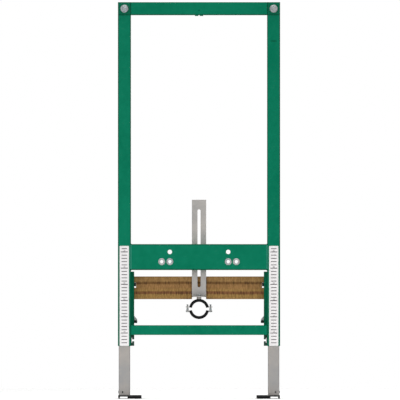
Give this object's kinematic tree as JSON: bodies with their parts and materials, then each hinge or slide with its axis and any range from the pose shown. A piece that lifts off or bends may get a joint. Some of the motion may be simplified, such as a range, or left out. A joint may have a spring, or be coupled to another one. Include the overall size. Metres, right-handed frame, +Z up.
{
  "type": "bidet installation frame",
  "caption": "Open steel frame that carries a wall-hung bidet, with telescopic legs, a slotted drain bar with pipe clamp and a board for the taps.",
  "frame": {"origin": "bottom centre of the bounding box: raw floor level, midway between the posts, middle of the foot plates' depth", "axes": "+Z up, front (room side) faces -Y, +X to the right as seen from the front"},
  "size_m": [0.5, 0.1, 1.222],
  "materials": {
    "green_coat": "satin",
    "dark_green_coat": "satin",
    "dark_green_plastic": "matte",
    "zinc_plated": "satin",
    "black_coat": "matte",
    "black_rubber": "matte",
    "black_plastic": "matte",
    "plywood": "raw"
  },
  "bodies": {
    "frame": {"left_post": "green_coat", "right_post": "green_coat", "top_bar": "green_coat", "left_corner": "dark_green_coat", "right_corner": "dark_green_coat", "left_wall_stud": "zinc_plated", "right_wall_stud": "zinc_plated", "left_wall_nut": "zinc_plated", "right_wall_nut": "zinc_plated", "left_wall_back_nut": "zinc_plated", "right_wall_back_nut": "zinc_plated", "mid_crossbar": "green_coat", "lower_crossbar": "green_coat", "left_outer_insert": "zinc_plated", "left_inner_insert": "zinc_plated", "right_inner_insert": "zinc_plated", "right_outer_insert": "zinc_plated", "left_rail": "dark_green_coat", "right_rail": "dark_green_coat", "left_leg_guide": "dark_green_plastic", "right_leg_guide": "dark_green_plastic", "left_leg_lock": "black_plastic", "right_leg_lock": "black_plastic", "mounting_board": "plywood", "left_board_screw": "black_coat", "right_board_screw": "black_coat", "drain_stud": "zinc_plated", "drain_nut": "zinc_plated"},
    "left_leg": {"left_leg": "zinc_plated", "left_foot_plate": "black_coat", "left_foot_pad": "black_rubber", "left_foot_bolt": "zinc_plated"},
    "right_leg": {"right_leg": "zinc_plated", "right_foot_plate": "black_coat", "right_foot_pad": "black_rubber", "right_foot_bolt": "zinc_plated"},
    "drain_bar": {"drain_bar": "zinc_plated", "hanger_stud": "zinc_plated", "clamp_upper_band": "zinc_plated", "clamp_lower_band": "zinc_plated", "clamp_upper_lining": "black_rubber", "clamp_lower_lining": "black_rubber", "left_clamp_screw": "zinc_plated", "right_clamp_screw": "zinc_plated"}
  },
  "joints": [
    {"name": "left_leg_slide", "type": "slide", "parent": "frame", "child": "left_leg", "axis": [0, 0, -1], "range_m": [-0.102, 0.098]},
    {"name": "right_leg_slide", "type": "slide", "parent": "frame", "child": "right_leg", "axis": [0, 0, -1], "range_m": [-0.102, 0.098]},
    {"name": "drain_bar_slide", "type": "slide", "parent": "frame", "child": "drain_bar", "axis": [0, 0, 1], "range_m": [-0.14, 0.065]}
  ]
}
